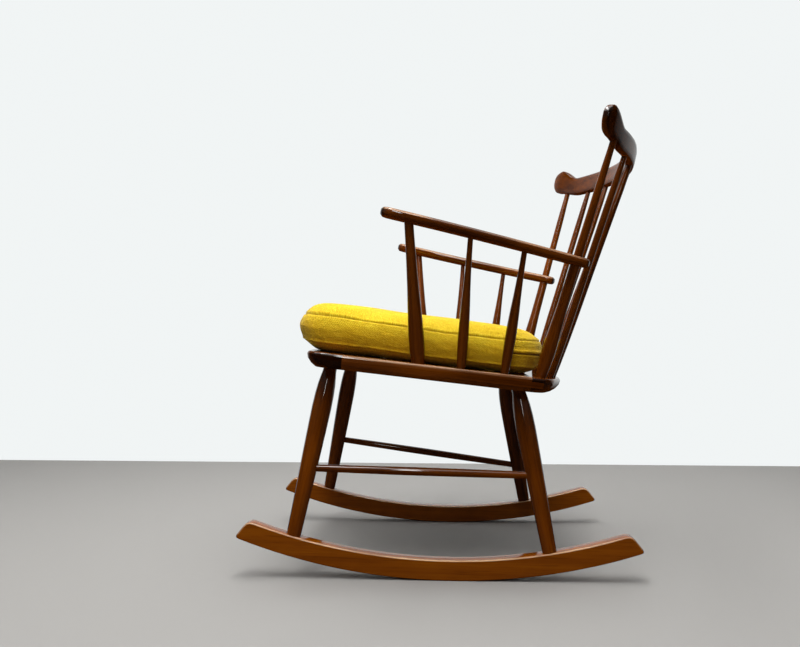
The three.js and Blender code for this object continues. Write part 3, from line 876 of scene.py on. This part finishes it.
    def sew(self, piece: Piece) -> None:
        """Cuts loops at the seams and the zip, then shapes the seams, the flap and small puckers.

        Args:
            piece: The settled form, in the seat frame.
        """
        select_only(piece)
        bpy.ops.object.mode_set(mode="EDIT")
        heights = [h + d for h in (self.lower_seam, self.upper_seam)
                   for d in (-0.0024, -0.001, 0.0, 0.001, 0.0024)]
        heights += [self.zip_height + d for d in (-0.003, -0.0012, 0.0, 0.0012, 0.003, 0.0055)]
        for height in heights:
            bpy.ops.mesh.select_all(action="SELECT")
            bpy.ops.mesh.bisect(plane_co=(0, 0, height), plane_no=(0, 0, 1))
        bpy.ops.mesh.select_all(action="SELECT")
        bpy.ops.mesh.remove_doubles(threshold=0.0002)
        bpy.ops.object.mode_set(mode="OBJECT")
        mesh = piece.data
        line = mesh.attributes.new("seam", "FLOAT", "POINT")
        strip = mesh.attributes.new("boxing", "FLOAT", "POINT")
        normals = [v.normal.copy() for v in mesh.vertices]
        for v, normal in zip(mesh.vertices, normals):
            x, y, h = v.co
            side = smoothstep(0.35, 0.75, math.hypot(normal.x, normal.y))
            pucker = noise.noise(Vector((x * 34, y * 34, h * 10)))
            zipped = smoothstep(self.zip_start, self.zip_start + 0.006, y) * side
            upper = bell(self.upper_seam, self.seam_width, h)
            lower = bell(self.lower_seam, self.seam_width, h)
            out = -self.seam_depth * upper - self.lower_seam_depth * lower
            out += (0.0007 * bell(self.upper_seam + 0.0032, 0.0016, h)
                    + 0.0002 * bell(self.upper_seam - 0.0032, 0.0018, h))
            out += 0.0016 * bell(self.lower_seam + 0.0022, 0.0016, h)
            out += self.pucker * pucker * (bell(self.upper_seam, 0.016, h)
                                           + bell(self.lower_seam, 0.014, h))
            crease = noise.noise(Vector((x * 55, y * 55, h * 130)))
            out += (self.crease * crease * smoothstep(self.lower_seam, 0.028, h)
                    * (1 - smoothstep(0.05, self.upper_seam, h)))
            # painted shade in the sunk seam grooves here, and in the zip gap below
            dark = 0.5 * upper + 0.3 * bell(self.lower_seam - 0.001, 0.0009, h)
            out += zipped * (self.zip_flap * bell(self.zip_height + 0.0042, 0.0026, h)
                             - self.zip_depth * bell(self.zip_height, 0.0014, h)
                             + self.zip_lip * bell(self.zip_height - 0.0034, 0.0016, h))
            dark = max(dark * side, zipped * bell(self.zip_height, 0.0013, h))
            if h > 0.0012:
                v.co += normal * out * side
                crown = noise.noise(Vector((x * 11, y * 11, 3.0)))
                v.co += normal * self.ripple * crown * smoothstep(0.01, 0.03, h)
            line.data[v.index].value = dark
            # the boxing attribute marks the side strip below the upper seam for painted shade
            boxed = 1 - smoothstep(self.upper_seam - 0.03, self.upper_seam, h)
            strip.data[v.index].value = side * boxed

    def sit(self, piece: Piece) -> None:
        """Bends the sewn form as it sits: nose curled up off the front rail, seams sinking to the back.

        Args:
            piece: The sewn form, in the seat frame.
        """
        top = max(v.co.z for v in piece.data.vertices)
        for v in piece.data.vertices:
            x, y, h = v.co
            edge = self.front - self.front_bow * max(0.0, 1 - (x / self.front_half) ** 2)
            behind = min(1.0, max(0.0, (y - edge) / self.curl_length))
            below = self.curl * (1 - behind) ** 2
            lower = (self.lower_seam + self.seam_rise * (1 - behind) ** 2 - self.seam_drop
                     - self.seam_sink * smoothstep(-0.15, -0.04, y))
            tail = self.tail_rise * smoothstep(0.09, 0.18, y)
            upper = self.upper_seam - self.upper_sink * smoothstep(-0.2, 0.0, y) + tail
            above = top + self.nose_rise * (1 - smoothstep(-0.19, -0.09, y))
            lower = max(lower, below + 0.001)
            v.co.y += self.nose_tuck * (1 - smoothstep(0.015, 0.045, h)) * (1 - behind)
            if h < self.lower_seam:
                v.co.z = below + (lower - below) * h / self.lower_seam
            elif h < self.upper_seam:
                boxing = self.upper_seam - self.lower_seam
                v.co.z = lower + (upper - lower) * (h - self.lower_seam) / boxing
            else:
                share = (h - self.upper_seam) / (top - self.upper_seam)
                share += self.nose_fullness * share * (1 - share) * (1 - smoothstep(-0.25, -0.12, y))
                v.co.z = upper + (above - upper) * share

    def lay_weave(self, piece: Piece) -> None:
        """Lays the weave map: flat on the panels, and round the outline on the boxing.

        Args:
            piece: The sewn form, in the seat frame.
        """
        mesh = piece.data
        layer = mesh.uv_layers.get("weave") or mesh.uv_layers.new(name="weave")
        count = len(self.outline)
        lengths = [0.0]
        for k in range(count):
            lengths.append(lengths[-1] + (self.outline[(k + 1) % count] - self.outline[k]).length)
        centre = Vector((0, (self.front + self.back) / 2))
        angles = [math.atan2((p - centre).y, (p - centre).x) for p in self.outline]
        turn = [(a - angles[0]) % (2 * math.pi) for a in angles] + [2 * math.pi]

        def around(x: float, y: float, near: float) -> float:
            """Length along the outline at a point's direction, on the same turn as a nearby one."""
            angle = (math.atan2(y - centre.y, x - centre.x) - angles[0]) % (2 * math.pi)
            low, high = 0, count
            while high - low > 1:
                middle = (low + high) // 2
                low, high = (middle, high) if turn[middle] <= angle else (low, middle)
            t = (angle - turn[low]) / max(turn[low + 1] - turn[low], 1e-9)
            value = lengths[low] + t * (lengths[low + 1] - lengths[low])
            if near - value > lengths[-1] / 2:
                value += lengths[-1]
            if value - near > lengths[-1] / 2:
                value -= lengths[-1]
            return value

        for face in mesh.polygons:
            middle = face.center
            boxing = (self.lower_seam < middle.z < self.upper_seam
                      and math.hypot(face.normal.x, face.normal.y) > 0.3)
            near = around(middle.x, middle.y, 0.0) if boxing else 0.0
            near = near % lengths[-1]
            for k in face.loop_indices:
                at = mesh.vertices[mesh.loops[k].vertex_index].co
                layer.data[k].uv = (around(at.x, at.y, near), at.z) if boxing else (at.x, at.y)

    def build(self) -> None:
        """Makes, fills, sews and dresses the cushion."""
        piece = self.start_shape()
        self.inflate(piece)
        self.settle(piece)
        self.sew(piece)
        self.lay_weave(piece)
        self.sit(piece)
        piece.data.transform(SEAT.matrix)
        select_only(piece)
        bpy.ops.object.shade_smooth()
        piece.data.materials.clear()
        piece.data.materials.append(self.finish.material())
        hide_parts("seat_cushion")
        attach(piece, Body.CUSHION.value)
        log.info("cushion: %d faces", len(piece.data.polygons))


# ---------------------------------------------------------------- studio


@dataclass(frozen=True)
class Plain:
    """Matt paint that shows itself at an even level to the camera, and takes light as paint does.

    The camera sees the colour `shown` in the part `share` of it within `near` metres of the middle,
    rising to `far_share` at `far` metres. `mirrored` is its level in reflections, and `bounce` the
    part of its colour that it throws on to other things.
    """

    name: str
    colour: Colour
    shown: Colour
    share: float
    far_share: float
    mirrored: float
    bounce: float
    near: float
    far: float

    def material(self) -> bpy.types.Material:
        """Builds the finish.

        Returns:
            The material.
        """
        sh = Shader(self.name)
        path = sh.node("LightPath")
        dimmed = tuple(c * self.bounce for c in self.colour[:3]) + (1,)
        colour = sh.mix(path.outputs["Is Diffuse Ray"], self.colour, dimmed)
        sh.link(colour, sh.surface.inputs["Base Color"])
        sh.surface.inputs["Roughness"].default_value = 0.8
        away = sh.node("VectorMath", operation="LENGTH")
        sh.link(sh.node("TexCoord").outputs["Object"], away.inputs[0])
        spread = sh.math("DIVIDE", sh.math("SUBTRACT", away.outputs["Value"], self.near),
                         self.far - self.near, clamp=True)
        rise = sh.math("MULTIPLY", spread, self.far_share - self.share)
        share = sh.math("MULTIPLY", path.outputs["Is Camera Ray"], sh.math("ADD", self.share, rise))
        mirror = sh.math("MAXIMUM", path.outputs["Is Glossy Ray"], path.outputs["Is Transmission Ray"])
        surface = sh.surface.outputs[0]
        reflected = sh.math("MULTIPLY", sh.math("SUBTRACT", 1.0, spread), self.mirrored)
        for seen, level in ((share, None), (mirror, reflected)):
            glow, blend = sh.node("Emission"), sh.node("MixShader")
            glow.inputs["Color"].default_value = self.shown
            if level:
                sh.link(level, glow.inputs["Strength"])
            sh.link(seen, blend.inputs[0])
            sh.link(surface, blend.inputs[1])
            sh.link(glow.outputs[0], blend.inputs[2])
            surface = blend.outputs[0]
        sh.link(surface, sh.tree.nodes["Material Output"].inputs["Surface"])
        return sh.material


@dataclass(frozen=True)
class Lamp:
    """A rectangular soft lamp, with the point that it faces, and its width and height in metres."""

    name: str
    place: Triple
    aim: Triple
    size: tuple[float, float]
    watts: float


@dataclass
class Studio:
    """Pale floor, white wall behind, soft lamps and the camera."""

    floor: Plain
    wall: Plain
    lamps: tuple[Lamp, ...] = (
        Lamp("overhead", (0.25, -0.15, 2.6), (0, 0, 0.45), (2.6, 2.8), 66),
        Lamp("rooflight", (0.55, -0.3, 2.7), (0.2, -0.2, 0.4), (0.35, 2.4), 40),
        Lamp("behind_camera", (2.5, -0.1, 2.0), (0, 0, 0.45), (0.14, 2.0), 17))
    eye: Vector = field(default_factory=lambda: Vector((1.700, -0.0079, 0.428)))
    yaw: float = math.radians(3.0)
    pitch: float = math.radians(1.01)
    lens: float = 36.9
    wall_distance: float = 1.11
    wall_height: float = 7.0
    floor_side: float = 18.0
    ambient: float = 0.035
    backdrop: float = 0.85
    mirrored: tuple[float, float] = (0.015, 0.3)
    mirrored_heights: tuple[float, float] = (0.1, 0.8)

    def sheet(self, name: str, size: tuple[float, float], matrix: Matrix, finish: Plain) -> None:
        """Lays one flat backdrop.

        Args:
            name: Its name.
            size: Its two sides in metres.
            matrix: Its place.
            finish: Its paint.
        """
        clear_selection()
        bpy.ops.mesh.primitive_plane_add(size=1)
        piece = bpy.context.object
        piece.name = name
        piece.data.transform(matrix @ Matrix.Diagonal((size[0], size[1], 1, 1)))
        piece.data.materials.append(finish.material())

    def hang(self, lamp: Lamp) -> None:
        """Hangs one lamp."""
        data = bpy.data.lights.new(lamp.name, "AREA")
        data.shape, data.size, data.size_y = "RECTANGLE", lamp.size[0], lamp.size[1]
        data.energy = lamp.watts
        hung = bpy.data.objects.new(lamp.name, data)
        bpy.context.scene.collection.objects.link(hung)
        hung.location = lamp.place
        hung.rotation_mode = "QUATERNION"
        hung.rotation_quaternion = (Vector(lamp.aim) - Vector(lamp.place)).to_track_quat("-Z", "Y")

    def camera(self) -> None:
        """Sets the camera up."""
        data = bpy.data.cameras.new("camera")
        data.sensor_width, data.lens = 36.0, self.lens
        data.clip_start, data.clip_end = 0.02, 60
        camera = bpy.data.objects.new("camera", data)
        bpy.context.scene.collection.objects.link(camera)
        level = math.cos(self.pitch)
        ahead = Vector((-math.cos(self.yaw) * level, -math.sin(self.yaw) * level, math.sin(self.pitch)))
        camera.location = self.eye
        camera.rotation_mode = "QUATERNION"
        camera.rotation_quaternion = ahead.to_track_quat("-Z", "Y")
        bpy.context.scene.camera = camera

    def build(self) -> None:
        """Makes the floor, wall, world, lamps and camera."""
        self.camera()
        side, high = self.floor_side, self.wall_height
        self.sheet("floor", (side, side), Matrix.Translation((side / 2 - self.wall_distance, 0, 0)),
                   self.floor)
        self.sheet("wall", (high, side), Matrix.Translation((-self.wall_distance, 0, high / 2)) @
                   Matrix.Rotation(math.pi / 2, 4, "Y"), self.wall)
        world = bpy.data.worlds.new("room")
        world.use_nodes = True
        nodes, link = world.node_tree.nodes, world.node_tree.links.new
        nodes["Background"].inputs["Color"].default_value = (0.95, 0.97, 1.0, 1)
        heading = nodes.new("ShaderNodeSeparateXYZ")
        link(nodes.new("ShaderNodeTexCoord").outputs["Generated"], heading.inputs[0])
        ceiling = nodes.new("ShaderNodeMapRange")
        ceiling.interpolation_type = "SMOOTHSTEP"
        for name, value in zip(("From Min", "From Max", "To Min", "To Max"),
                               (*self.mirrored_heights, *self.mirrored)):
            ceiling.inputs[name].default_value = value
        link(heading.outputs["Z"], ceiling.inputs["Value"])
        path = nodes.new("ShaderNodeLightPath")
        mirrored = nodes.new("ShaderNodeMath")
        mirrored.operation = "MAXIMUM"
        link(path.outputs["Is Glossy Ray"], mirrored.inputs[0])
        link(path.outputs["Is Transmission Ray"], mirrored.inputs[1])
        strength = nodes["Background"].inputs["Strength"]
        strength.default_value = self.ambient
        for seen, value in ((mirrored.outputs[0], ceiling.outputs[0]),
                            (path.outputs["Is Camera Ray"], self.backdrop)):
            choose = nodes.new("ShaderNodeMix")
            link(seen, choose.inputs[0])
            choose.inputs[2].default_value = self.ambient
            if strength.is_linked:
                link(strength.links[0].from_socket, choose.inputs[2])
            if isinstance(value, float):
                choose.inputs[3].default_value = value
            else:
                link(value, choose.inputs[3])
            link(choose.outputs[0], strength)
        bpy.context.scene.world = world
        for lamp in self.lamps:
            self.hang(lamp)
        view = bpy.context.scene.view_settings
        view.view_transform = "Standard"
        log.info("studio: floor, wall, %d lamps", len(self.lamps))


def main() -> None:
    """Builds the studio, dresses the wood, and makes the webbing and the cushion."""
    logging.basicConfig(level=logging.INFO, format="%(name)s: %(message)s")
    floor = Plain("pale_floor", colour=(0.34, 0.33, 0.315, 1), shown=(0.42, 0.41, 0.39, 1),
                  share=0.0, far_share=0.9, mirrored=0.1, bounce=0.55, near=1.9, far=4.5)
    wall = Plain("white_wall", colour=(0.86, 0.88, 0.89, 1), shown=(0.88, 0.91, 0.91, 1),
                 share=1.0, far_share=1.0, mirrored=0.8, bounce=0.8, near=1.4, far=3.2)
    Studio(floor, wall).build()
    beech = StainedWood("stained_beech_finish", dark=(0.034, 0.0062, 0.0004, 1),
                        light=(0.188, 0.044, 0.0016, 1))
    rocker = StainedWood("rocker_finish", dark=(0.18, 0.039, 0.0006, 1), light=(0.33, 0.085, 0.0014, 1))
    Joinery(beech, rocker).build()
    Webbing(Jute("jute_webbing", base=(0.42, 0.29, 0.14, 1), dark=(0.2, 0.125, 0.055, 1))).build()
    BoxedCushion(Wool("yellow_wool_cloth", base=(0.78, 0.515, 0.011, 1), light=(0.93, 0.78, 0.055, 1),
                      dark=(0.50, 0.245, 0.004, 1))).build()
    log.info("finished")


if __name__ == "__main__":
    main()
